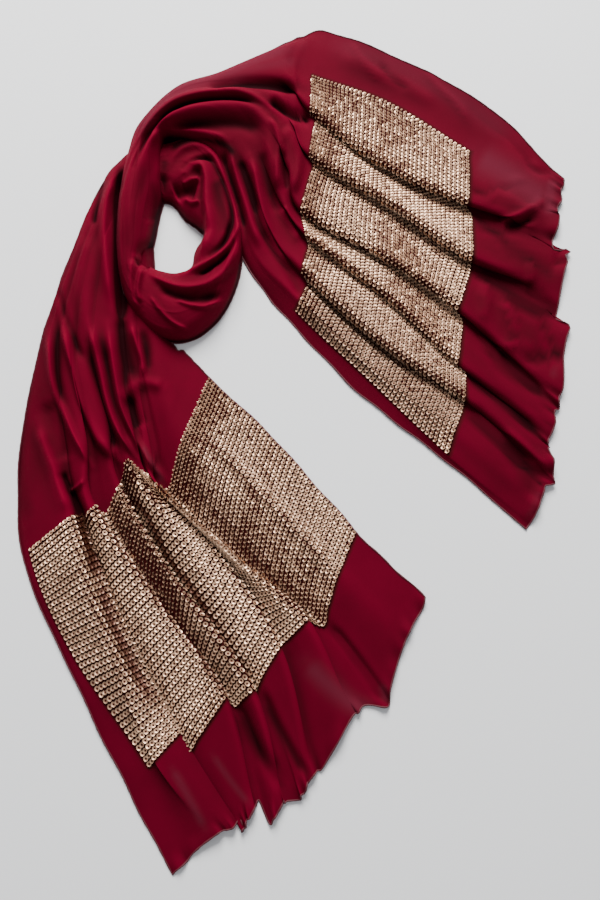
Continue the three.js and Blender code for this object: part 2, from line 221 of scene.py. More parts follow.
# The turned edge of a pleat, from its top round and under: how far back from the crease it lies, as a
# share of the roll or of the tuck, and how high, as a share of the pleat. Where the pleat is open, the
# same point lies ahead of the crease instead, on a soft slope, by a share of the way to the next foot.
TURNED_EDGE = table(
    "roll tuck height ahead slope",
    (1.0, 0.0, 1.0, -0.35, 1.0),
    (0.35, 0.0, 0.86, 0.0, 0.93),
    (0.0, 0.0, 0.55, 0.25, 0.74),
    (0.0, 0.35, 0.28, 0.45, 0.5),
    (0.0, 1.0, 0.17, 0.65, 0.27),
    (0.0, 0.4, 0.06, 0.83, 0.09),
)

# The camera stands at the near side and looks down, tilted a little away from straight down. A point
# of its view is 1/900 of the view's height.
CAMERA = {"distance": 1.035, "tilt_deg": 12.0, "lens": 36.0, "sensor": 36.0}
VIEW = {"width": 600, "height": 900}
POINT = 1.15  # millimetres on the surface to one point of the view

# Folds placed one by one: each line in points of the view, its height in millimetres, below zero for a
# hollow, and how far it spreads to the left and to the right of the line's way, in millimetres.
CREASES_A = table(
    "height left right line",
    (4.5, 4, 6, [(128, 158), (118, 172), (112, 188), (107, 205), (105, 225), (106, 250), (109, 278),
     (113, 308)]),
    (-4.5, 4, 4, [(104, 176), (99, 192), (95, 208), (94, 226)]),
    (3.5, 14, 11, [(90, 232), (86, 262), (84, 292), (90, 328), (98, 362)]),
    (-2.5, 4, 4, [(58, 285), (62, 305), (68, 325), (76, 343), (85, 362)]),
    (-2.2, 5, 6, [(54, 300), (56, 322), (57, 348), (57, 375), (61, 397), (66, 412)]),
    (4.5, 4, 4, [(47, 330), (50, 352), (52, 375), (57, 395), (64, 412), (76, 440), (92, 467)]),
    (6, 9, 3.5, [(62, 322), (68, 350), (75, 374), (81, 398), (89, 420), (101, 443), (118, 461)]),
    (6, 5, 4, [(90, 325), (97, 352), (103, 378), (108, 402), (117, 428), (130, 450), (137, 459)]),
    (6, 5, 5, [(108, 325), (113, 355), (117, 382), (122, 408), (132, 432), (142, 450), (153, 466),
     (166, 481)]),
    (5, 4, 4, [(131, 325), (138, 346), (143, 364), (142, 380)]),
    (2.6, 7, 6, [(124, 404), (128, 391), (138, 385), (150, 383), (164, 388)]),
    (-3, 8, 7, [(128, 398), (134, 410), (141, 428)]),
    (-3.5, 7, 7, [(120, 316), (123, 338), (128, 362), (132, 378)]),
    (-1.8, 6, 6, [(141, 330), (147, 348), (146, 370)]),
    (-2.8, 5, 6, [(86, 345), (92, 368), (98, 392), (104, 415), (112, 438), (120, 452)]),
    (-2.2, 4, 5, [(103, 345), (107, 370), (112, 396), (122, 422), (134, 446)]),
    (-4, 12, 10, [(44, 400), (51, 420), (57, 440), (64, 462)]),
    (-6, 5, 4, [(60, 470), (66, 488), (74, 504), (82, 520)]),
    (4, 5, 8, [(38, 425), (47, 450), (57, 475), (66, 497), (72, 514)]),
    (2.5, 2.5, 2.5, [(67, 492), (76, 488), (84, 480)]),
    (-11, 9, 6, [(119, 165), (119, 205), (119, 250), (120, 290), (123, 322)]),
    (-3, 9, 8, [(236, 702), (250, 735), (268, 765), (284, 790)]),
    (-2.5, 5, 5, [(262, 688), (280, 728), (300, 764), (312, 780)]),
    (-3.5, 5, 5, [(330, 625), (350, 650), (372, 680), (386, 704)]),
    (-4, 10, 8, [(84, 545), (96, 585), (112, 625), (130, 662), (148, 700)]),
    (2.5, 7, 7, [(205, 436), (232, 462), (262, 494), (296, 530), (334, 572)]),
)
CREASES_B = table(
    "height left right line",
    # the strand that rises from the loop, and the arc's long folds
    (5.5, 8, 4, [(121, 285), (121, 245), (123, 205), (127, 180), (134, 158), (146, 134), (158, 117),
     (172, 105), (190, 98), (212, 94), (234, 93), (252, 98), (266, 106), (280, 116), (290, 126)]),
    (6, 9, 10, [(131, 262), (130, 235), (131, 212), (133, 188), (140, 166), (150, 146), (163, 128),
     (176, 118), (192, 111), (210, 108), (230, 107), (247, 109), (258, 114), (266, 126), (271, 142),
     (274, 162), (277, 182), (283, 200)]),
    (-4, 3, 3, [(135, 170), (142, 150), (152, 131), (164, 117), (180, 107), (200, 102), (225, 100),
     (245, 102), (259, 108)]),
    (3.5, 5, 4, [(150, 152), (158, 141), (168, 135), (185, 133), (205, 134), (228, 140)]),
    (-2.5, 2.5, 2.5, [(122, 200), (126, 180), (132, 162), (141, 144), (152, 128)]),
    (-6, 8, 5, [(205, 88), (225, 85), (250, 83), (275, 85), (302, 91)]),
    (-7, 6, 6, [(268, 98), (283, 108), (297, 115), (314, 117)]),
    (-2.5, 7, 8, [(160, 129), (190, 124), (215, 123), (242, 124), (265, 132)]),
    (-3, 8, 8, [(152, 225), (154, 205), (160, 188), (166, 172)]),
    # the folds that fall from the shoulder to the right of the loop
    (4.5, 5, 4, [(268, 118), (277, 134), (280, 150), (278, 168), (277, 192)]),
    (5, 5, 7, [(284, 125), (294, 140), (299, 158), (297, 178), (292, 194)]),
    (4.5, 4, 5, [(231, 150), (233, 166), (239, 186), (246, 206), (253, 228), (263, 250)]),
    (4.5, 5, 4, [(250, 156), (255, 175), (259, 198), (265, 222), (276, 246), (292, 270)]),
    (-3.5, 4, 4, [(241, 158), (245, 172), (252, 194), (258, 216)]),
    (-2.5, 5, 5, [(262, 150), (266, 172), (271, 194), (278, 214)]),
    (-3, 5, 5, [(282, 150), (285, 170), (288, 192)]),
    (-5, 5, 5, [(222, 148), (227, 168), (234, 190), (241, 214), (245, 232)]),
    (3, 5, 5, [(282, 206), (292, 226), (300, 240)]),
    (-3, 6, 6, [(262, 226), (276, 250), (292, 276), (304, 300)]),
    # the loop
    (3.5, 7, 4, [(168, 168), (174, 157), (184, 149), (197, 146), (208, 150), (217, 163), (226, 182),
     (234, 203), (239, 224), (238, 242), (230, 262), (216, 278)]),
    (-4, 3, 3, [(183, 168), (192, 161), (202, 158), (212, 160), (219, 172), (227, 190), (232, 210),
     (230, 228), (222, 244), (210, 256)]),
    (6, 9, 3.5, [(187, 172), (196, 167), (203, 169), (206, 182), (206, 202), (208, 222), (205, 243),
     (199, 258)]),
    (-6, 10, 9, [(174, 194), (186, 189), (197, 192)]),
    (3, 3, 3, [(182, 184), (191, 180), (200, 179)]),
    (2.5, 3, 3, [(184, 198), (192, 203), (200, 201)]),
    (4, 3.5, 4, [(240, 222), (234, 240), (223, 253), (208, 263), (194, 270), (176, 275)]),
    (-3.5, 3, 3, [(237, 238), (227, 253), (212, 266), (197, 275)]),
    (4, 3.5, 7, [(241, 244), (234, 263), (220, 278), (203, 286), (186, 288), (170, 285), (156, 278),
     (147, 271)]),
    (-3.5, 6, 5, [(224, 292), (210, 296), (194, 298), (176, 295), (158, 286)]),
    (2.2, 2.5, 2.5, [(150, 296), (160, 310), (172, 322), (188, 331)]),
    (2.2, 4, 2.5, [(174, 299), (190, 305), (206, 307), (224, 301)]),
    (4, 4, 4, [(134, 258), (131, 280), (133, 300), (140, 311)]),
    (3, 3, 3, [(142, 268), (138, 290), (141, 304)]),
    (-5, 4, 4, [(135, 264), (142, 262), (150, 268)]),
    # the far end, above its hem
    (-2, 7, 6, [(474, 214), (500, 234), (520, 251), (540, 264), (560, 277)]),
    (-3.5, 8, 8, [(470, 262), (488, 275), (505, 288), (522, 300), (542, 308), (562, 311)]),
    (-2.5, 4, 4, [(470, 188), (492, 190), (514, 184)]),
    (3.5, 4, 4, [(500, 224), (516, 216), (532, 208), (546, 199)]),
    (-3, 3, 4, [(504, 230), (520, 224), (534, 216)]),
    (-2, 3, 3, [(528, 130), (530, 148), (529, 163), (540, 172), (556, 168)]),
    (2.5, 4, 3, [(528, 262), (532, 272), (528, 284)]),
    (2.5, 5, 5, [(482, 283), (486, 300), (484, 320)]),
    (2.5, 4, 4, [(502, 300), (512, 318), (516, 336)]),
    (-3, 7, 7, [(476, 325), (490, 345), (500, 362), (520, 378), (545, 394)]),
    (2.5, 4, 4, [(499, 352), (510, 345), (521, 344), (532, 352)]),
    (-2.5, 7, 7, [(524, 360), (544, 357), (562, 350)]),
    (-2.5, 6, 6, [(466, 374), (485, 388), (505, 400), (522, 418), (540, 430)]),
    (-4, 10, 10, [(470, 405), (490, 424), (510, 445), (530, 470)]),
    (4, 8, 8, [(500, 430), (520, 446), (538, 462), (552, 470)]),
    (2.5, 4, 4, [(548, 480), (538, 494), (530, 512)]),
    (-3, 4, 4, [(540, 322), (550, 334), (556, 345)]),
    (-3, 5, 4, [(556, 232), (560, 250), (556, 268)]),
    (2, 8, 8, [(340, 52), (372, 70), (404, 84), (440, 104)]),
    (-2, 4, 4, [(380, 62), (392, 78), (410, 90)]),
    (1.6, 5, 3, [(424, 70), (440, 88), (458, 104), (470, 122)]),
    (1.4, 5, 3, [(350, 42), (362, 60), (382, 82)]),
    (-1.4, 4, 5, [(470, 100), (488, 120), (512, 136), (530, 160)]),
    (1.6, 3, 6, [(474, 178), (496, 189), (520, 202), (546, 215)]),
    (1.4, 4, 3, [(486, 202), (504, 186), (526, 178)]),
)

# Painted highlight and painted shade over the folds: the cloth is painted brighter on a ridge and darker,
# down to nearly black, in a hollow and in the painted shade strips below. How far round a point its ridge is
# measured, the height from the deepest hollow to the full ridge, and the share of that for level cloth and
# for the darkest of the painted shade strips.
PAINTED_FOLD_LIGHT = {"reach": 7, "height": 9.0, "level": 0.5, "dark": 0.5}

# Painted see-through light: where a single layer lies straight on the surface the cloth is painted paler,
# with lines in points of the view, how wide the pale strip is in millimetres, and how pale it is.
PAINTED_SEE_THROUGH = table(
    "wide share line",
    (5, 0.75, [(172, 768), (190, 800), (205, 829)]),
    (4, 0.65, [(212, 754), (230, 780), (249, 804)]),
    (12, 0.9, [(306, 662), (326, 682), (350, 702), (374, 714)]),
    (5, 0.6, [(382, 684), (387, 702)]),
    (18, 0.9, [(476, 156), (502, 170), (526, 186), (548, 200)]),
    (9, 0.9, [(552, 178), (550, 200), (552, 216)]),
    (9, 0.75, [(132, 146), (150, 112), (172, 92), (200, 80), (228, 73), (252, 61), (276, 52), (302, 46)]),
    (8, 0.45, [(225, 82), (260, 66), (300, 60)]),
    (14, 0.4, [(320, 40), (370, 54), (420, 76), (470, 106), (520, 140)]),
    (3.5, 0.7, [(142, 444), (152, 463), (164, 483)]),
    (4, 0.8, [(563, 306), (572, 303)]),
    (4, 0.5, [(554, 376), (560, 366)]),
    (5, 0.35, [(530, 520), (540, 490)]),
)

# Painted shade, deep in the gathers and beside the folds, where the cloth is painted darker, down to nearly
# black.
PAINTED_SHADE_STRIPS = table(
    "wide share line",
    (7, 1.6, [(122, 158), (119, 180), (118, 205), (118, 250), (119, 290), (122, 325)]),
    (14, 0.45, [(36, 330), (28, 380), (22, 430), (20, 480), (26, 530)]),
    (5, 1.2, [(168, 152), (180, 144), (196, 140), (212, 140), (226, 146), (236, 158)]),
    (9, 0.35, [(168, 126), (190, 122), (215, 121), (242, 124), (262, 132)]),
    (6, 0.35, [(228, 90), (252, 86), (285, 84), (305, 88)]),
    (6, 0.7, [(150, 176), (156, 200), (153, 230), (146, 252)]),
    (6, 0.7, [(166, 158), (163, 176), (166, 196)]),
    (12, 0.8, [(216, 176), (224, 196), (230, 216), (230, 236)]),
    (14, 0.5, [(148, 158), (138, 190), (133, 220), (136, 256)]),
    (6, 0.65, [(238, 158), (243, 172), (250, 190), (256, 208)]),
    (6, 0.6, [(222, 150), (226, 168), (234, 190), (240, 208)]),
    (7, 0.3, [(283, 146), (285, 168), (288, 190)]),
    (7, 0.3, [(262, 148), (268, 172), (274, 200)]),
    (10, 0.55, [(118, 312), (123, 338), (130, 362), (136, 384)]),
    (8, 0.3, [(142, 326), (147, 348), (144, 374)]),
    (10, 0.5, [(126, 394), (134, 410), (142, 428)]),
    (9, 0.25, [(62, 330), (58, 352), (58, 378), (62, 398)]),
    (34, 0.28, [(80, 190), (62, 250), (46, 330), (34, 430), (30, 520)]),
    (32, 0.22, [(330, 62), (400, 84), (460, 112), (510, 150)]),
    (60, 0.28, [(505, 170), (515, 250), (512, 340), (505, 420), (520, 500)]),
    (8, 0.2, [(88, 350), (97, 388), (110, 428), (120, 450)]),
    (10, 0.3, [(200, 292), (215, 298), (228, 296)]),
    # beside the far band
    (8, 0.55, [(470, 205), (480, 222), (500, 238), (510, 252), (525, 262), (545, 275), (562, 283)]),
    (10, 0.6, [(474, 262), (484, 272), (500, 284), (515, 296), (530, 306), (545, 312), (562, 312)]),
    (9, 0.5, [(530, 353), (548, 354), (564, 357)]),
    (8, 0.5, [(478, 325), (488, 340), (500, 355), (515, 372), (530, 386), (548, 398)]),
    (7, 0.55, [(462, 365), (480, 385), (500, 400), (520, 418), (530, 427), (547, 436)]),
    (15, 0.45, [(470, 405), (485, 425), (500, 440), (515, 460), (528, 478), (530, 500)]),
    # the near band: the dark valley, then the shaded side of each lap and the line at its foot
    (9, 1.2, [(74, 506), (80, 522), (85, 542), (91, 560), (97, 578)]),
    (11, 0.75, [(97, 578), (108, 612), (122, 645), (140, 680), (158, 710)]),
    (3.5, 1.1, [(99, 508), (113, 536), (128, 563), (150, 592), (176, 622), (203, 661), (226, 697),
     (240, 714)]),
    (8, 0.4, [(108, 505), (122, 530), (137, 556), (160, 588), (187, 620), (213, 656), (235, 690)]),
    (4.5, 1.2, [(124, 483), (137, 499), (152, 522), (170, 558), (195, 591), (220, 632), (245, 670),
     (256, 692)]),
    (3, 0.7, [(238, 580), (258, 609), (280, 641)]),
    (8, 0.6, [(182, 468), (200, 492), (216, 510), (240, 540), (268, 572), (300, 604), (318, 622)]),
    (7, 0.3, [(40, 590), (60, 625), (85, 668)]),
    # above the near hem
    (10, 0.45, [(238, 712), (250, 735), (265, 755), (280, 770)]),
    (7, 0.5, [(262, 700), (275, 725), (290, 755), (303, 775)]),
)

# Painted shade on the sequins, where they catch less light: lines in points of the view, how wide in
# millimetres, and how much darker.
PAINTED_SEQUIN_SHADE = table(
    "wide share line",
    (52, 0.7, [(45, 560), (75, 610), (110, 660), (150, 735)]),
    (32, 0.55, [(120, 505), (170, 580), (215, 650), (245, 700)]),
    (55, 0.32, [(215, 400), (262, 465), (300, 530), (335, 590)]),
    (55, 1.0, [(300, 300), (350, 355), (400, 395), (455, 440)]),
)

# How a listed fold and a strip end: how many times their width they reach, over which share of their line
# each end fades, and what is left of them at the end.
CREASE_END = {"reach": 2.6, "fade": 0.16, "left": 0.15}
STRIP_END = {"reach": 2.4, "fade": 0.12, "left": 0.25, "steep": 1.2}
LINE_STEPS = 4  # straight steps from one point of such a line to the next

# A gathered stretch is a heap: how square its section is, from which height and over how many more
# millimetres it counts as gathered, and how much of the cloth's unevenness it then loses.
HEAP = {"power": 2.6, "from": 2, "over": 16, "calm": 0.7}

# Between two folds the cloth bellies out: the share of the way at which it is shaped, and how round.
BELLY = {"at": 0.4, "round": 0.6}

# The most of a lap that its roll and its tuck take up. The foot of an open pleat moves on by a share of
# the way to the next fold. A pleat with more than the wavering lift wavers by a share of its height.
LAP = {"roll": 0.4, "tuck": 0.5, "foot_ahead": 0.25, "wavering_lift": 0.5, "waver": 0.22}

# Faces between two control points: their length in millimetres at a percentile of the spans, and how
# many at least and at most.
SPAN = {"face": 2.6, "percentile": 80, "fewest": 2, "most": 18}
ROWS = {"a": 26, "b": 22, "band": 26}  # rows of faces from one station to the next
START_A = 0.1  # station at which the near end's cloth begins, under the loop

# Soft unevenness: how quick it is over its two coordinates, its seed, and how many waves of what rates.
WAVER = {"across": 1, "down": 2.1, "seed": 31, "count": 3, "rates": (0.8, 2.6)}
DRIFT = {"across": 0.35, "down": 1, "seed": 7, "count": 4, "rates": (0.4, 1.6)}
SWELL = {"across": 0.5, "down": 1.3, "seed": 19, "count": 5, "rates": (0.4, 1.4)}
SWAY = {"across": 9, "down": 4, "seed": 11, "count": 3, "rates": (0.6, 1.3)}
SWELL_DRIFT = 1.6  # how far the drift moves the swell, in centimetres of cloth

# The overlocked hem: how many stations from it the cloth still ripples or is drawn in, and how quickly
# that goes to and fro over a centimetre. The sides sway by a share of the scallop, and the thread's
# bumps are a share of its radius.
RIPPLE = {"reach": 0.10, "rate": 2.1, "drift": 2.2, "fine": 0.5, "fine_rate": 3.7, "swell": 3.0, "lift": 0.8}
SCALLOP = {"reach": 0.16, "rate": 1.3, "drift": 2.6, "swell": 0.3, "side": 0.45}
THREAD = {"sides": 6, "bumps": 0.18, "rate": 1.9}
LEAST_HEIGHT = {"cloth": 0.8, "thread": 0.1, "sequin": 0.1}  # millimetres over the surface

# A sequin's form: the radius of its hole, how deep its cup is and how far above the cloth it lies, in
# millimetres, and its shoulder as shares of the radius and of the cup. It leans by so many degrees along
# its row, give or take some unevenness, which goes no further than the most_ angles, in radians.
SEQUIN = {"sides": 10, "hole": 0.95, "cup": 0.6, "above": 0.75, "shoulder": 0.62, "shoulder_cup": 0.35,
          "lean": 7, "uneven": 5, "most_lean": 0.2, "most_roll": 0.3}
SEQUIN_RINGS = 3  # its hole, its shoulder and its rim
SEQUIN_TONE = {"mean": 0.8, "spread": 0.2}
SEQUIN_RIM = (0.0, 0.75, 1.0)  # how bright the hole, the shoulder and the rim are

# A row overlaps the next like shingles. The pitch is measured a little ahead of a row, in stations. A
# sequin's tilt has a cosine that follows the pitch, and where rows spread it is drawn longer.
SHINGLE = {"ahead": 0.02, "tilt": 0.86, "least": 0.78, "most": 0.985, "stretch": 0.9, "longest": 1.2}
FACING_UP = 0.05  # least upward part of the normal of a sequin that shows

# The stage, in metres and watts.
LAMP = {"place": (-0.15, 2.65, 2.0), "size": 1.9, "power": 300}
ROOM = {"colour": (0.93, 0.95, 1.0, 1), "strength": 0.5}
FLOOR_HALF = 6.0

# Shares of red, green and blue that are left of the sequins' colour at the light and the dark end of their
# tone, which varies at random and is darkened by painted shade, in the middle of a cup and in the painted
# shade down between two folds, and of the edge thread's in its dark and light fibres.
FOIL = {"light": (1.12, 1.12, 1.12), "dark": (0.42, 0.42, 0.42),
        "middle": (0.22, 0.10, 0.07), "hollow": (0.10, 0.05, 0.035)}
FLOSS = {"dark": (0.6, 0.6, 0.6), "light": (1.4, 1.4, 1.4)}

TINY = 1e-9  # least length that anything is divided by
LEAST_STEP = 1e-6  # keeps the run along a line rising where two of its points meet


class ScarfSizes(bpy.types.PropertyGroup):
    """Sizes of the cloth, its folds, sequins and edges."""

    cloth_lift: FloatProperty(
        name="Cloth lift", description="Height of flat cloth over the surface", default=0.0016, unit="LENGTH")
    roll: FloatProperty(
        name="Roll", description="How far a pleat's top lies back from its turned edge", default=0.007,
        unit="LENGTH")
    tuck: FloatProperty(
        name="Tuck", description="How far the cloth runs back under a turned edge", default=0.012,
        unit="LENGTH")
    fold_depth: FloatProperty(
        name="Fold depth", description="How strongly the folds placed by hand show", default=1.6, min=0)
    wrinkle: FloatProperty(
        name="Wrinkle", description="Height of the soft unevenness of the cloth", default=0.0008,
        unit="LENGTH")
    ripple: FloatProperty(
        name="Hem ripple", description="Height of the ripple of the overlocked hems", default=0.0018,
        unit="LENGTH")
    scallop: FloatProperty(
        name="Hem scallop", description="How far the pulled thread draws the hem in and out", default=0.0019,
        unit="LENGTH")
    sequin: FloatProperty(
        name="Sequin", description="Diameter of a sequin", default=0.0053, unit="LENGTH")
    sequin_step: FloatProperty(
        name="Sequin step", description="Distance between sequins along a row", default=0.0050,
        unit="LENGTH")
    sequin_rows: IntProperty(
        name="Sequin rows", description="Rows of sequins in one band", default=40, min=1)
    edge_thread: FloatProperty(
        name="Edge thread", description="Diameter of the rolled, overlocked edge", default=0.0019,
        unit="LENGTH")


class ScarfColours(bpy.types.PropertyGroup):
    """Colours of the scarf and its stage."""

    cloth: FloatVectorProperty(
        name="Cloth", description="Maroon of the lit cloth", subtype="COLOR", size=3,
        default=(0.094, 0.0004, 0.0090))
    shade: FloatVectorProperty(
        name="Cloth in its folds", description="Maroon where more layers lie together", subtype="COLOR",
        size=3, default=(0.072, 0.0002, 0.0068))
    # Painted highlight: brighter maroon on the ridges of the folds.
    ridge: FloatVectorProperty(
        name="Ridges", description="Brighter maroon where a fold stands up and light comes through",
        subtype="COLOR", size=3, default=(0.135, 0.0006, 0.013))
    # Painted shade: nearly black maroon in the hollows between the folds.
    hollow: FloatVectorProperty(
        name="Hollows", description="Nearly black maroon between the folds", subtype="COLOR", size=3,
        default=(0.012, 0.0001, 0.0012))
    # Painted see-through light: paler maroon where one layer lies on the surface.
    see_through_light: FloatVectorProperty(
        name="Single layer", description="Paler maroon where one layer lies on the surface",
        subtype="COLOR", size=3, default=(0.092, 0.0085, 0.019))
    # Painted shade on the cloth between the sewn sequins.
    painted_shade_under_sequins: FloatVectorProperty(
        name="Under the sequins", description="Shaded cloth between the sewn sequins", subtype="COLOR",
        size=3, default=(0.030, 0.003, 0.003))
    edge: FloatVectorProperty(
        name="Edge thread", description="Darker maroon of the overlocked edge", subtype="COLOR", size=3,
        default=(0.070, 0.001, 0.008))
    sequin: FloatVectorProperty(
        name="Sequins", description="Champagne of the sequins", subtype="COLOR", size=3,
        default=(0.78, 0.49, 0.31))
    floor: FloatVectorProperty(
        name="Floor", description="Plain pale floor", subtype="COLOR", size=3, default=(0.84, 0.84, 0.84))


# ---------------------------------------------------------------------------------------------------
# The cloth's form

def along(values, v):
    """Values of table rows (rows, stations) at the station numbers v, on smooth curves."""
    values = np.asarray(values, float)
    last = values.shape[-1] - 1
    i = np.clip(np.floor(v).astype(int), 0, last - 1)
    t = v - i
    p1, p2 = values[..., i], values[..., i + 1]
    p0 = np.where(i > 0, values[..., np.maximum(i - 1, 0)], 2 * p1 - p2)
    p3 = np.where(i + 2 <= last, values[..., np.minimum(i + 2, last)], 2 * p2 - p1)
    bend = (2 * p0 - 5 * p1 + 4 * p2 - p3) * t + (3 * p1 - p0 - 3 * p2 + p3) * t * t
    return p1 + 0.5 * t * (p2 - p0 + bend)


def run_of(points):
    """How far each of a row of points lies along their line."""
    return np.concatenate([[0], np.cumsum(np.linalg.norm(np.diff(points, axis=0), axis=-1))])


def unit(vectors):
    """The vectors at length 1."""
    return vectors / np.maximum(np.linalg.norm(vectors, axis=-1, keepdims=True), TINY)


def heap(u):
    """Height of a rounded heap at share u of the way across, as a share of its full height."""
    return np.sqrt(np.clip(1 - np.abs(2 * u - 1) ** HEAP["power"], 0, None))


def waves(a, b, kind, seed_step=0):
    """Smooth unevenness of one kind over two coordinates, about -1 to 1, from a few seeded waves."""
    rng = np.random.default_rng(kind["seed"] + seed_step)
    a, b = a * kind["across"], b * kind["down"]
    total = np.zeros(np.broadcast(a, b).shape)
    for _ in range(kind["count"]):
        ka, kb = rng.uniform(*kind["rates"], 2) * rng.choice([-1, 1], 2)
        total += np.sin(ka * a + kb * b + rng.uniform(0, 2 * math.pi))
    return total / math.sqrt(kind["count"])


class Stretch:
    """One run of the panel, as fold lines with a place at each station."""

    def __init__(self, folds, stations, creases):
        self.names = [f["fold"] for f in folds]
        self.lift, self.crisp, self.x, self.y = (
            np.array([f[key] for f in folds], float) for key in ("lift", "crisp", "x", "y"))
        self.hill, self.pleat, self.lap = (
            np.array([s[key] for s in stations], float) for key in ("hill", "pleat", "lap"))
        self.creases = creases

    def knots(self, v, sizes):
        """Control points across the cloth at stations v, as (knots, rows, 3), and each fold's knot."""
        x, y = along(self.x, v), along(self.y, v)
        hill, pleat = along(self.hill, v), along(self.pleat, v)
        laps = np.clip(along(self.lap, v), 0, 1)
        steps = np.hypot(np.diff(x, axis=0), np.diff(y, axis=0))
        reach = np.vstack([np.zeros(len(v)), np.cumsum(steps, axis=0)])
        points, share, place = [], [], {}

        def knot(k, to, part, height):
            """Adds a point at a height, part of the way from fold k to the fold that is named by to."""
            points.append((x[k] + part * (x[to] - x[k]), y[k] + part * (y[to] - y[k]), height))
            share.append((reach[k] + part * (reach[to] - reach[k])) / reach[-1])

        for k, name in enumerate(self.names):
            uneven = 1 + LAP["waver"] * waves(v, np.full_like(v, k), WAVER, k)
            top = self.lift[k] * pleat * (uneven if self.lift[k] > LAP["wavering_lift"] else 1)
            if k > 0 and not name.startswith("foot"):
                low, at = points[-1][2], BELLY["at"]
                rise = (1 - BELLY["round"]) * at + BELLY["round"] * math.sin(math.pi / 2 * at)
                knot(k - 1, k, at, low + (top - low) * rise)
            place[name] = len(points)
            if not name.startswith("crest"):
                ahead = 1 - laps * self.crisp[k - 1] if name.startswith("foot") else 0
                knot(k, min(k + 1, len(x) - 1), LAP["foot_ahead"] * ahead, top)
                continue
            lap = laps * self.crisp[k]
            span = np.maximum(reach[k] - reach[k - 1], TINY)
            rolled = np.minimum(sizes.roll / MM, LAP["roll"] * span)
            tucked = np.minimum(sizes.tuck / MM, LAP["tuck"] * span)
            gap = reach[k + 1] - reach[k] + LAP["foot_ahead"] * (reach[k + 2] - reach[k + 1]) * (1 - lap)
            for row in TURNED_EDGE:
                back = row["roll"] * rolled + row["tuck"] * tucked
                back = lap * back - (1 - lap) * row["ahead"] * gap
                height = lap * row["height"] + (1 - lap) * row["slope"]
                knot(k, k - 1, back / span, top * height)
        points, share = np.array(points), np.array(share)
        points[:, 2] += sizes.cloth_lift / MM + hill * heap(np.clip(share, 0, 1))
        return np.moveaxis(points, 1, 2), place


def smooth_across(knots, per_span):
    """Points on smooth curves through the knots (knots, rows, 3), per_span to each span."""
    least_chord = 0.05
    chord = np.linalg.norm(np.diff(knots, axis=0), axis=2).mean(axis=1)
    h = np.sqrt(np.maximum(chord, least_chord))[:, None, None]
    slope = np.diff(knots, axis=0) / h
    tangent = np.empty_like(knots)
    tangent[0], tangent[-1] = slope[0], slope[-1]
    tangent[1:-1] = (slope[:-1] * h[1:] + slope[1:] * h[:-1]) / (h[:-1] + h[1:])
    out = []
    for k, steps in enumerate(per_span):
        for t in np.arange(steps) / steps:
            h00, h10 = 2 * t ** 3 - 3 * t ** 2 + 1, t ** 3 - 2 * t ** 2 + t
            h01, h11 = 3 * t ** 2 - 2 * t ** 3, t ** 3 - t ** 2
            ends = h00 * knots[k] + h01 * knots[k + 1]
            out.append(ends + h[k] * (h10 * tangent[k] + h11 * tangent[k + 1]))
    out.append(knots[-1])
    return np.array(out)


def normals_of(grid):
    """Unit normals, turned upwards on the whole, of a grid (columns, rows, 3)."""
    n = unit(np.cross(np.gradient(grid, axis=0), np.gradient(grid, axis=1)))
    return n if n[..., 2].sum() > 0 else -n


def seen(points):
    """Where table points in millimetres lie in the camera's view, in points of the view."""
    tilt = math.radians(CAMERA["tilt_deg"])
    ahead = CAMERA["distance"] / MM + points[..., 1] * math.sin(tilt) - points[..., 2] * math.cos(tilt)
    up = points[..., 1] * math.cos(tilt) + points[..., 2] * math.sin(tilt)
    scale = VIEW["height"] * CAMERA["lens"] / CAMERA["sensor"] / ahead
    return VIEW["width"] / 2 + points[..., 0] * scale, VIEW["height"] / 2 - up * scale


def close_to(line, reach, px, py):
    """Which points of the view lie in the box round a line, with reach millimetres to spare."""
    xs, ys = zip(*line)
    reach = reach / POINT
    in_x = (px > min(xs) - reach) & (px < max(xs) + reach)
    return in_x & (py > min(ys) - reach) & (py < max(ys) + reach)


def beside(line, px, py):
    """Distance in points to a smooth line, above zero on its left, and the share of the way along it."""
    line = np.array(line, float)
    fine = along(line.T, np.linspace(0, len(line) - 1, LINE_STEPS * (len(line) - 1) + 1)).T
    run = run_of(fine)
    steps = np.diff(run)
    best = np.full(px.shape, np.inf)
    side = np.zeros(px.shape)
    share = np.zeros(px.shape)
    for k, (x0, y0) in enumerate(fine[:-1]):
        dx, dy = (fine[k + 1] - fine[k]) / steps[k]
        t = np.clip((px - x0) * dx + (py - y0) * dy, 0, steps[k])
        far = np.hypot(px - x0 - t * dx, py - y0 - t * dy)
        closer = far < best
        best = np.where(closer, far, best)
        side = np.where(closer, (px - x0) * dy - (py - y0) * dx, side)
        share = np.where(closer, (run[k] + t) / run[-1], share)
    return np.where(side >= 0, best, -best), share


def raised(creases, grid):
    """Height that the listed folds add to each point of a grid."""
    px, py = seen(grid)
    total = np.zeros(px.shape)
    for crease in creases:
        near = close_to(crease["line"], CREASE_END["reach"] * max(crease["left"], crease["right"]), px, py)
        if not near.any():
            continue
        far, share = beside(crease["line"], px[near], py[near])
        wide = np.where(far >= 0, crease["left"], crease["right"]) / POINT
        ends = np.clip(np.minimum(share, 1 - share) / CREASE_END["fade"], 0, 1)
        ends = CREASE_END["left"] + (1 - CREASE_END["left"]) * ends * ends * (3 - 2 * ends)
        total[near] += crease["height"] * np.exp(-(far / wide) ** 2) * ends
    return total


def strip_cover(strips, grid):
    """How strongly the strips of a table cover each point of a grid, 0 where there is none."""
    px, py = seen(grid)
    total = np.zeros(px.shape)
    for strip in strips:
        near = close_to(strip["line"], STRIP_END["reach"] * strip["wide"], px, py)
        if not near.any():
            continue
        far, share = beside(strip["line"], px[near], py[near])
        ends = np.clip(np.minimum(share, 1 - share) / STRIP_END["fade"], STRIP_END["left"], 1)
        far = np.abs(far) * POINT / strip["wide"]
        depth = strip["share"] * np.exp(-far ** 2 * STRIP_END["steep"]) * ends
        total[near] = np.maximum(total[near], depth)
    return total


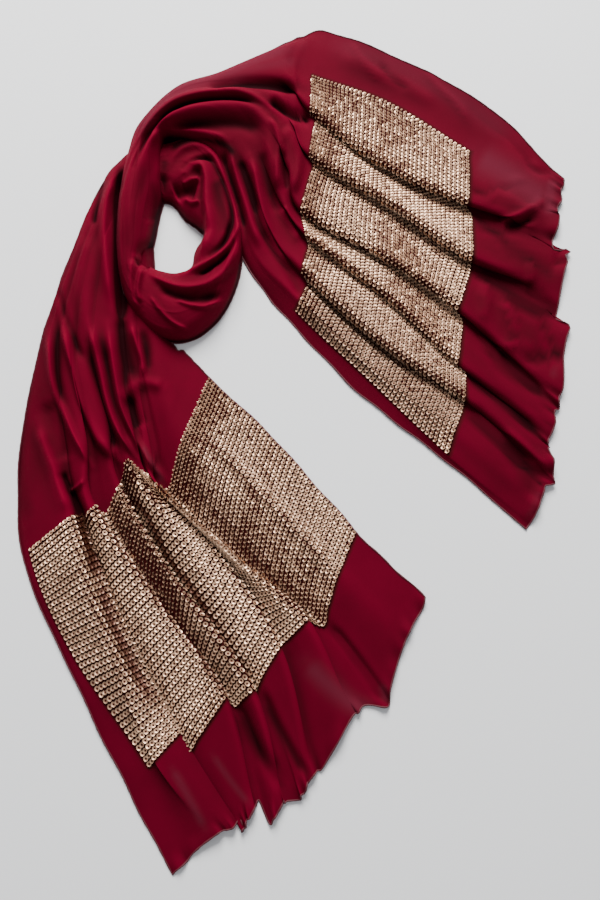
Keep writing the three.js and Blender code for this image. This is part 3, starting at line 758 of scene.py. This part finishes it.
def relief(grid, reach):
    """How far each point stands above the cloth within reach of it, across the folds, in millimetres."""
    out = np.empty(grid.shape[:2])
    pad = 3 * reach  # the weights have faded out there
    kernel = np.exp(-(np.arange(-pad, pad + 1) / reach) ** 2 / 2)
    kernel /= kernel.sum()
    for r in range(grid.shape[1]):
        line = grid[:, r]
        steps = np.hypot(np.diff(line[:, 0]), np.diff(line[:, 1]))
        run = np.concatenate([[0], np.cumsum(steps + LEAST_STEP)])
        even = np.arange(0, run[-1] + 1, 1.0)
        heights = np.pad(np.interp(even, run, line[:, 2]), pad, mode="edge")
        level = np.convolve(heights, kernel, mode="valid")
        out[:, r] = line[:, 2] - np.interp(run, even, level)
    return out


def fold_shading_of(grid):
    """How the folds are painted at each point of a grid: from 0, painted shade in a deep hollow, to 1,
    painted highlight on a full ridge.
    """
    stands = relief(grid, PAINTED_FOLD_LIGHT["reach"]) / PAINTED_FOLD_LIGHT["height"]
    return np.clip(PAINTED_FOLD_LIGHT["level"] + stands - PAINTED_FOLD_LIGHT["dark"] * strip_cover(PAINTED_SHADE_STRIPS, grid), 0, 1)


def surface(stretch, v, sizes):
    """The cloth at stations v, as points (columns, rows, 3) in millimetres, and each fold's column."""
    knots, place = stretch.knots(v, sizes)
    chord = np.linalg.norm(np.diff(knots, axis=0), axis=2)
    faces = np.round(np.percentile(chord, SPAN["percentile"], axis=1) / SPAN["face"])
    per_span = np.clip(faces, SPAN["fewest"], SPAN["most"]).astype(int)
    columns = np.concatenate([[0], np.cumsum(per_span)])
    grid = smooth_across(knots, per_span)
    grid[..., 2] += sizes.fold_depth * raised(stretch.creases, grid)
    # the cut's coordinates: centimetres across, at the band's foot, and stations down
    last = len(stretch.hill) - 1
    foot = stretch.knots(np.array([last - 1.0]), sizes)[0][:, 0]
    a = np.interp(np.arange(columns[-1] + 1), columns, run_of(foot))[:, None] / CENTIMETRE
    b = v[None, :]
    drift = waves(a, b, DRIFT)
    swell = waves(a + SWELL_DRIFT * drift, b, SWELL)
    gathered = np.clip((along(stretch.hill, v) - HEAP["from"]) / HEAP["over"], 0, 1)
    rough = sizes.wrinkle / MM * (1 - HEAP["calm"] * gathered)
    grid = grid + normals_of(grid) * (rough * swell)[..., None]
    work_edges(grid, v, last - v, a, drift, swell, sizes)
    grid[..., 2] = np.maximum(grid[..., 2], LEAST_HEIGHT["cloth"])
    return grid, {name: columns[k] for name, k in place.items()}


def work_edges(grid, v, from_hem, a, drift, swell, sizes):
    """Ripples the hem, draws it in and out, and lets the two side edges sway."""
    wave = np.sin(a * RIPPLE["rate"] + RIPPLE["drift"] * drift)
    wave = wave + RIPPLE["fine"] * np.sin(a * RIPPLE["fine_rate"] + RIPPLE["swell"] * swell)
    hem = np.exp(-(from_hem / RIPPLE["reach"]) ** 2)
    grid[..., 2] += sizes.ripple / MM * hem * (wave + RIPPLE["lift"])
    out = unit(grid[:, -1] - grid[:, -4])  # over the last three rows of faces
    draw = np.sin(a * SCALLOP["rate"] + SCALLOP["drift"] * drift) + SCALLOP["swell"] * swell
    draw = sizes.scallop / MM * np.exp(-(from_hem / SCALLOP["reach"]) ** 2) * draw
    grid[..., :2] += out[:, None, :2] * draw[..., None]
    for edge, inner in ((0, 5), (-1, -6)):  # each side edge, and the column five faces further in
        aside = unit(grid[edge] - grid[inner])
        sway = SCALLOP["side"] * sizes.scallop / MM * waves(v, v, SWAY, -edge)
        grid[edge, :, :2] += aside[:, :2] * sway[:, None]


# ---------------------------------------------------------------------------------------------------
# Meshes

def mesh_piece(name, vertices, faces, material, smooth=True):
    """A new piece of the scene with one material."""
    mesh = bpy.data.meshes.new(name)
    mesh.from_pydata(vertices, [], faces)
    mesh.materials.append(material)
    if smooth:
        mesh.polygons.foreach_set("use_smooth", [True] * len(mesh.polygons))
    mesh.update()
    piece = bpy.data.objects.new(name, mesh)
    bpy.context.scene.collection.objects.link(piece)
    return piece


def to_metres(points):
    """Table millimetres to metres in the frame."""
    moved = np.array(points, float)
    moved[..., :2] -= CENTRE
    return moved * MM


def grid_faces(grid):
    """Four-sided faces of a grid (columns, rows, 3), in the order that makes them look up on the whole."""
    columns, rows = grid.shape[:2]
    i = np.arange(columns - 1)[:, None] * rows + np.arange(rows - 1)[None, :]
    faces = np.stack([i, i + 1, i + rows + 1, i + rows], axis=-1).reshape(-1, 4)
    n = np.cross(grid[1:, :-1] - grid[:-1, :-1], grid[:-1, 1:] - grid[:-1, :-1])
    return faces[:, ::-1] if n[..., 2].sum() > 0 else faces


def shade_layer(piece, name, values):
    """Stores one value per vertex for the materials."""
    layer = piece.data.attributes.new(name, "FLOAT", "POINT")
    layer.data.foreach_set("value", np.asarray(values, np.float32).ravel())


def cloth_sheet(name, stretch, v, band, material, sizes):
    """One smooth sheet over the stations v, with its cut as UVs. band is the sequins' place on it."""
    grid, column = surface(stretch, v, sizes)
    columns = len(grid)
    points = to_metres(grid).reshape(-1, 3)
    piece = mesh_piece(name, points.tolist(), grid_faces(grid).tolist(), material)
    cut = np.concatenate([[0], np.cumsum(np.linalg.norm(np.diff(grid, axis=0), axis=2).max(axis=1))])
    run = run_of(grid[columns // 2])
    uv = np.stack(np.broadcast_arrays(cut[:, None], run[None, :]), axis=-1).reshape(-1, 2) * MM
    layer = piece.data.uv_layers.new(name="cut")
    loops = np.empty(len(piece.data.loops), int)
    piece.data.loops.foreach_get("vertex_index", loops)
    layer.data.foreach_set("uv", uv[loops].ravel())
    across = np.arange(columns)[:, None]
    sewn = (across >= column[band["from"]]) & (across <= column[band["to"]])
    # Where the sequins are sewn, for the painted shade on the cloth between them.
    shade_layer(piece, "sewn", sewn & (v >= band["top"]) & (v <= band["foot"]))
    # Painted see-through light: paler where a single layer lies on the surface.
    shade_layer(piece, "pale", strip_cover(PAINTED_SEE_THROUGH, grid))
    # Painted shade in the hollows and painted highlight on the ridges of the folds.
    shade_layer(piece, "ridge", fold_shading_of(grid))
    return piece, grid


def rolled_edge(name, grid, material, sizes):
    """A thin rolled and stitched edge along both sides of a sheet's grid and its hem."""
    sides = THREAD["sides"]
    angle = np.arange(sides) / sides * 2 * math.pi
    j = np.arange(sides)
    after = (j + 1) % sides
    vertices, faces, base = [], [], 0
    for line in (grid[0], grid[-1], grid[:, -1]):
        tangent = unit(np.gradient(line, axis=0))
        side = unit(np.cross(tangent, (0, 0, 1.0)))
        up = np.cross(side, tangent)
        radius = sizes.edge_thread / MM / 2 * (1 + THREAD["bumps"] * np.sin(run_of(line) * THREAD["rate"]))
        ring = side[:, None] * np.cos(angle)[None, :, None] + up[:, None] * np.sin(angle)[None, :, None]
        tube = line[:, None] + ring * radius[:, None, None]
        tube[..., 2] = np.maximum(tube[..., 2], LEAST_HEIGHT["thread"])
        vertices.append(tube.reshape(-1, 3))
        i = np.arange(len(line) - 1)[:, None] * sides + base
        faces.append(np.stack([i + j, i + after, i + sides + after, i + sides + j], axis=-1).reshape(-1, 4))
        base += len(line) * sides
    points = to_metres(np.vstack(vertices))
    return mesh_piece(name, points.tolist(), np.vstack(faces).tolist(), material)


# ---------------------------------------------------------------------------------------------------
# Materials

MIX = {"share": 0, "low": 6, "high": 7, "result": 2}  # the sockets of a mix node for colours


def new_material(name):
    """A material with its node tree and its main shader."""
    material = bpy.data.materials.new(name)
    material.use_nodes = True
    tree = material.node_tree
    return material, tree, tree.nodes["Principled BSDF"]


def put(tree, node, **values):
    """Sets or links each input of a node by its name, with spaces for _, or else the node's setting."""
    for key, value in values.items():
        name = key.replace("_", " ")
        if name not in node.inputs:
            setattr(node, key, value)
        elif isinstance(value, bpy.types.NodeSocket):
            tree.links.new(value, node.inputs[name])
        else:
            node.inputs[name].default_value = value
    return node


def add(tree, kind, **values):
    """A new node with its values put in."""
    return put(tree, tree.nodes.new(kind), **values)


def stored(tree, name):
    """The value that shade_layer stored under a name."""
    return add(tree, "ShaderNodeAttribute", attribute_name=name).outputs["Fac"]


def spread(tree, value, low, high):
    """The value from 0 at low to 1 at high."""
    return add(tree, "ShaderNodeMapRange", Value=value, From_Min=low, From_Max=high).outputs["Result"]


def mix(tree, share, low, high):
    """From the low colour to the high one by a share. Either is a colour or the result of a mix."""
    node = add(tree, "ShaderNodeMix", data_type="RGBA")
    tree.links.new(share, node.inputs[MIX["share"]])
    for end, colour in (("low", low), ("high", high)):
        if isinstance(colour, bpy.types.NodeSocket):
            tree.links.new(colour, node.inputs[MIX[end]])
        else:
            node.inputs[MIX[end]].default_value = (*colour, 1)
    return node.outputs[MIX["result"]]


def tinted(colour, shares):
    """The shares of a colour's red, green and blue, up to full."""
    return [min(1.0, c * s) for c, s in zip(colour, shares)]


def georgette(colours):
    """Maroon georgette: a crepe weave with a soft sheen, uneven in its dye, with painted shade in its hollows
    and between the sequins, a painted highlight on its ridges and painted see-through light where one layer
    lies flat.
    """
    material, tree, shader = new_material("maroon georgette")
    coords = add(tree, "ShaderNodeTexCoord").outputs
    dye = add(tree, "ShaderNodeTexNoise", Vector=coords["Object"], Scale=14.0, Detail=4.0, Roughness=0.55)
    ridge = stored(tree, "ridge")
    cloth = mix(tree, spread(tree, dye.outputs["Fac"], low=0.25, high=0.6), colours.shade, colours.cloth)
    # Painted shade: nearly black in the hollows between the folds.
    cloth = mix(tree, spread(tree, ridge, low=0.05, high=0.5), colours.hollow, cloth)
    # Painted highlight: brighter on the ridges of the folds.
    cloth = mix(tree, spread(tree, ridge, low=0.5, high=1.0), cloth, colours.ridge)
    # Painted see-through light where one layer lies on the surface.
    cloth = mix(tree, stored(tree, "pale"), cloth, colours.see_through_light)
    # Painted shade between the sewn sequins.
    cloth = mix(tree, stored(tree, "sewn"), cloth, colours.painted_shade_under_sequins)
    crepe = add(tree, "ShaderNodeTexNoise", Vector=coords["Object"], Scale=1500.0, Detail=2.0, Roughness=0.6)
    weave = add(tree, "ShaderNodeTexWave", Vector=coords["UV"], Scale=420.0, Distortion=1.5, Detail=1.0)
    both = add(tree, "ShaderNodeMath", operation="ADD")
    for k, texture in enumerate((crepe, weave)):
        tree.links.new(texture.outputs["Fac"], both.inputs[k])
    bump = add(tree, "ShaderNodeBump", Strength=0.25, Distance=0.0003, Height=both.outputs[0])
    put(tree, shader, Base_Color=cloth, Normal=bump.outputs["Normal"], Roughness=0.8, Specular_IOR_Level=0.04,
        Sheen_Weight=0.05, Sheen_Roughness=0.4, Sheen_Tint=(0.9, 0.02, 0.12, 1))
    return material


def sequin_foil(colours):
    """Champagne metallised sequins, each a little different and darker in the cup, with painted shade between
    folds and where they catch less light.
    """
    material, tree, shader = new_material("champagne sequin")
    shades = {name: tinted(colours.sequin, shares) for name, shares in FOIL.items()}
    tone = stored(tree, "tone")
    # Each sequin's random tone, darkened by painted shade where the sequins catch less light.
    foil = mix(tree, tone, shades["dark"], shades["light"])
    foil = mix(tree, stored(tree, "rim"), shades["middle"], foil)
    # Painted shade on the sequins down between two folds.
    foil = mix(tree, spread(tree, stored(tree, "ridge"), low=0.05, high=0.48), shades["hollow"], foil)
    rough = add(tree, "ShaderNodeMapRange", Value=tone, To_Min=0.5, To_Max=0.36)
    put(tree, shader, Base_Color=foil, Roughness=rough.outputs["Result"], Metallic=0.55)
    return material


def edge_floss(colours):
    """Overlock thread along the rolled edges."""
    material, tree, shader = new_material("edge thread")
    coords = add(tree, "ShaderNodeTexCoord").outputs
    fuzz = add(tree, "ShaderNodeTexNoise", Vector=coords["Object"], Scale=900.0, Detail=2.0).outputs["Fac"]
    tone = mix(tree, fuzz, tinted(colours.edge, FLOSS["dark"]), tinted(colours.edge, FLOSS["light"]))
    bump = add(tree, "ShaderNodeBump", Strength=0.5, Distance=0.0003, Height=fuzz)
    put(tree, shader, Base_Color=tone, Normal=bump.outputs["Normal"], Roughness=0.7)
    return material


def floor_paint(colours):
    """Matt paint of the floor."""
    material, tree, shader = new_material("floor")
    put(tree, shader, Base_Color=(*colours.floor, 1), Roughness=0.9)
    return material


def material_of(name, maker):
    """The material of that name, made on first use."""
    return bpy.data.materials.get(name) or maker(bpy.context.scene.scarf_colours)


# ---------------------------------------------------------------------------------------------------
# Stretches and pieces

def stretch_a():
    """The run from the crossing to the near hem."""
    return Stretch(FOLDS_A, STATIONS_A, CREASES_A)


def stretch_b():
    """The neck loop's sections, then stretch B, as one run of fold lines."""
    end = Stretch(FOLDS_B, STATIONS_B, CREASES_B)
    reach = run_of(np.stack([end.x[:, 0], end.y[:, 0]], axis=1))
    share = (reach / reach[-1])[:, None]
    outer, inner, height = (
        np.array([s[key] for s in LOOP_SECTIONS], float) for key in ("outer", "inner", "height"))
    loop_x, loop_y = (outer[:, k] + share * (inner[:, k] - outer[:, k]) for k in (0, 1))
    end.x, end.y = np.hstack([loop_x, end.x]), np.hstack([loop_y, end.y])
    end.hill = np.concatenate([height, end.hill])
    end.pleat = np.concatenate([np.zeros(LOOP_STATIONS), end.pleat])
    end.lap = np.concatenate([np.zeros(LOOP_STATIONS), end.lap])
    return end


def rows_between(low, high, per_station):
    """Even stations from low to high."""
    return np.linspace(low, high, int(round((high - low) * per_station)) + 1)


class SCARF_OT_stage(bpy.types.Operator):
    """Camera, one large soft light from the far side and a plain pale floor"""

    bl_idname = "scarf.stage"
    bl_label = "Stage"

    def execute(self, context):
        tilt = math.radians(CAMERA["tilt_deg"])
        middle = Vector((-CENTRE[0] * MM, -CENTRE[1] * MM, 0))
        data = bpy.data.cameras.new("camera")
        data.lens = CAMERA["lens"]
        data.sensor_width = CAMERA["sensor"]
        camera = bpy.data.objects.new("camera", data)
        camera.location = middle + Vector((0, -math.sin(tilt), math.cos(tilt))) * CAMERA["distance"]
        camera.rotation_euler = Euler((tilt, 0, 0))
        context.scene.collection.objects.link(camera)
        context.scene.camera = camera
        self.lamp(context)
        world = bpy.data.worlds.new("room")
        world.use_nodes = True
        background = world.node_tree.nodes["Background"]
        put(world.node_tree, background, Color=ROOM["colour"], Strength=ROOM["strength"])
        context.scene.world = world
        corners = [(x * FLOOR_HALF, y * FLOOR_HALF, 0) for x, y in ((-1, -1), (1, -1), (1, 1), (-1, 1))]
        floor = mesh_piece("floor", corners, [(0, 1, 2, 3)], material_of("floor", floor_paint), smooth=False)
        return {"FINISHED"}

    @staticmethod
    def lamp(context):
        """A round soft light that looks at the scarf."""
        data = bpy.data.lights.new("window", "AREA")
        data.shape = "DISK"
        data.size = LAMP["size"]
        data.energy = LAMP["power"]
        lamp = bpy.data.objects.new("window", data)
        lamp.location = LAMP["place"]
        lamp.rotation_euler = (-Vector(LAMP["place"])).to_track_quat("-Z", "Y").to_euler()
        context.scene.collection.objects.link(lamp)


class SCARF_OT_cloth(bpy.types.Operator):
    """The georgette panel: the near end, then the loop, the arc and the far end"""

    bl_idname = "scarf.cloth"
    bl_label = "Cloth"

    def execute(self, context):
        sizes = context.scene.scarf_sizes
        material = material_of("maroon georgette", georgette)
        thread = material_of("edge thread", edge_floss)
        a, grid_a = cloth_sheet(
            "cloth_a", stretch_a(), rows_between(START_A, HEM_A, ROWS["a"]), BAND_A, material, sizes)
        b, grid_b = cloth_sheet(
            "cloth_b", stretch_b(), rows_between(0, HEM_B, ROWS["b"]), BAND_B, material, sizes)
        near = ("under_strand", "end_a_fan")
        far = ("neck_loop", "over_arc", "end_b_fan")
        edge_a = rolled_edge("edge_a", grid_a, thread, sizes)
        edge_b = rolled_edge("edge_b", grid_b, thread, sizes)
        for piece, nodes in ((a, near), (edge_a, near), (b, far), (edge_b, far)):
            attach(piece, BODY)
            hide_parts(*nodes)
        return {"FINISHED"}


class SCARF_OT_sequins(bpy.types.Operator):
    """Rows of cupped sequins sewn across both ends"""

    bl_idname = "scarf.sequins"
    bl_label = "Sequins"

    def execute(self, context):
        sizes = context.scene.scarf_sizes
        self.band("sequins_a", stretch_a(), BAND_A, sizes)
        self.band("sequins_b", stretch_b(), BAND_B, sizes)
        return {"FINISHED"}

    def band(self, name, stretch, band, sizes):
        """Finds each sequin's place, sides and tilt, row by row, and makes the band."""
        count, diameter = sizes.sequin_rows, sizes.sequin / MM
        row_step = (band["foot"] - band["top"]) / count
        centres = band["top"] + (np.arange(count) + 0.5) / count * (band["foot"] - band["top"])
        fine = rows_between(band["top"], band["foot"], ROWS["band"])
        whole, column = surface(stretch, fine, sizes)
        sewn = slice(column[band["from"]], column[band["to"]] + 1)
        grid = self.between(whole, fine, centres)[sewn]
        ahead = self.between(whole, fine, centres + SHINGLE["ahead"])[sewn]
        ridges = self.between(fold_shading_of(whole)[..., None], fine, centres)[sewn]
        rows = []
        for r in range(count):
            line = grid[:, r]
            run = run_of(line)
            step = run[-1] / round(run[-1] / (sizes.sequin_step / MM))
            at = np.arange(step / 2, run[-1], step)
            point, after, u, ridge = (
                np.stack([np.interp(at, run, part[:, k]) for k in range(part.shape[1])], axis=1)
                for part in (line, ahead[:, r], np.gradient(line, axis=0), ridges[:, r]))
            w = after - point
            n, u = unit(np.cross(u, w)), unit(u)
            pitch = np.abs((w * np.cross(n, u)).sum(axis=1)) / SHINGLE["ahead"] * row_step / diameter
            tilt = np.arccos(np.clip(SHINGLE["tilt"] * pitch, SHINGLE["least"], SHINGLE["most"]))
            reach = np.clip(SHINGLE["stretch"] * pitch, 1, SHINGLE["longest"])
            rows.append(np.hstack([point, u, n, tilt[:, None], reach[:, None], ridge]))
        places, u, n, others = np.split(np.vstack(rows), (3, 6, 9), axis=1)
        if n[:, 2].sum() < 0:
            u, n = -u, -n
        shown = n[:, 2] > FACING_UP
        places, u, n, (tilt, reach, ridge) = places[shown], u[shown], n[shown], others[shown].T
        rng = np.random.default_rng(band["seed"])
        self.discs(name, places, u, np.cross(n, u), n, reach[:, None], tilt, ridge, rng, sizes)

    @staticmethod
    def between(grid, v, at):
        """The grid's rows at other stations, on straight lines between its own."""
        k = np.clip(np.searchsorted(v, at) - 1, 0, len(v) - 2)
        t = ((at - v[k]) / (v[k + 1] - v[k]))[None, :, None]
        return grid[:, k] * (1 - t) + grid[:, k + 1] * t

    @staticmethod
    def turned(a, b, angle):
        """Two vectors at right angles, turned towards each other's side by an angle."""
        c, s = np.cos(angle)[:, None], np.sin(angle)[:, None]
        return a * c + b * s, b * c - a * s

    def discs(self, name, places, u, w, n, reach, tilt, ridge, rng, sizes):
        """One cupped disc at each place. u, w and n are its own axes, and reach draws it along w."""
        sides, total = SEQUIN["sides"], len(places)
        radius, cup, uneven = sizes.sequin / MM / 2, SEQUIN["cup"], math.radians(SEQUIN["uneven"])
        lean = np.clip(rng.normal(0, uneven, total), -SEQUIN["most_lean"], SEQUIN["most_lean"])
        roll = np.clip(rng.normal(0, uneven, total), -SEQUIN["most_roll"], SEQUIN["most_roll"])
        u, n = self.turned(u, n, math.radians(SEQUIN["lean"]) + lean)
        w, n = self.turned(w, n, tilt + roll)
        w = w * reach
        angle = np.arange(sides) / sides * 2 * math.pi
        circle_u, circle_w = np.cos(angle)[None, :, None], np.sin(angle)[None, :, None]
        profile = (
            (SEQUIN["hole"], 0.0), (radius * SEQUIN["shoulder"], cup * SEQUIN["shoulder_cup"]), (radius, cup))
        points = np.stack([
            places[:, None] + u[:, None] * circle_u * size + w[:, None] * circle_w * size
            + n[:, None] * (height + SEQUIN["above"]) for size, height in profile], axis=1)
        points[..., 2] = np.maximum(points[..., 2], LEAST_HEIGHT["sequin"])
        base = (np.arange(total) * SEQUIN_RINGS * sides)[:, None, None]
        j = np.arange(sides)[None, None, :]
        inner = base + np.arange(SEQUIN_RINGS - 1)[None, :, None] * sides
        after = (j + 1) % sides
        quads = np.stack([inner + j, inner + sides + j, inner + sides + after, inner + after], axis=-1)
        piece = mesh_piece(
            name, to_metres(points.reshape(-1, 3)).tolist(), quads.reshape(-1, 4).tolist(),
            material_of("champagne sequin", sequin_foil))
        # A random tone for each sequin, darkened by painted shade where the sequins catch less light.
        tone = rng.normal(SEQUIN_TONE["mean"], SEQUIN_TONE["spread"], total) - strip_cover(PAINTED_SEQUIN_SHADE, places)
        shade_layer(piece, "tone", np.repeat(np.clip(tone, 0, 1), SEQUIN_RINGS * sides))
        shade_layer(piece, "rim", np.tile(np.repeat(SEQUIN_RIM, sides), total))
        # How the folds under each sequin are painted, for its painted shade between folds.
        shade_layer(piece, "ridge", np.repeat(ridge, SEQUIN_RINGS * sides))
        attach(piece, BODY)
        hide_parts(name.replace("sequins", "sequin_band"))


class SCARF_PT_panel(bpy.types.Panel):
    """The scarf's builders"""

    bl_label = "Scarf"
    bl_space_type = "VIEW_3D"
    bl_region_type = "UI"
    bl_category = "Scarf"

    def draw(self, context):
        for operator in OPERATORS:
            self.layout.operator(operator.bl_idname)


GROUPS = (ScarfSizes, ScarfColours)
OPERATORS = (SCARF_OT_stage, SCARF_OT_cloth, SCARF_OT_sequins)


def register():
    for item in (*GROUPS, *OPERATORS, SCARF_PT_panel):
        bpy.utils.register_class(item)
    bpy.types.Scene.scarf_sizes = PointerProperty(type=ScarfSizes)
    bpy.types.Scene.scarf_colours = PointerProperty(type=ScarfColours)


def unregister():
    del bpy.types.Scene.scarf_sizes
    del bpy.types.Scene.scarf_colours
    for item in reversed((*GROUPS, *OPERATORS, SCARF_PT_panel)):
        bpy.utils.unregister_class(item)


def main():
    register()
    bpy.ops.scarf.stage()
    bpy.ops.scarf.cloth()
    bpy.ops.scarf.sequins()


if __name__ == "__main__":
    main()
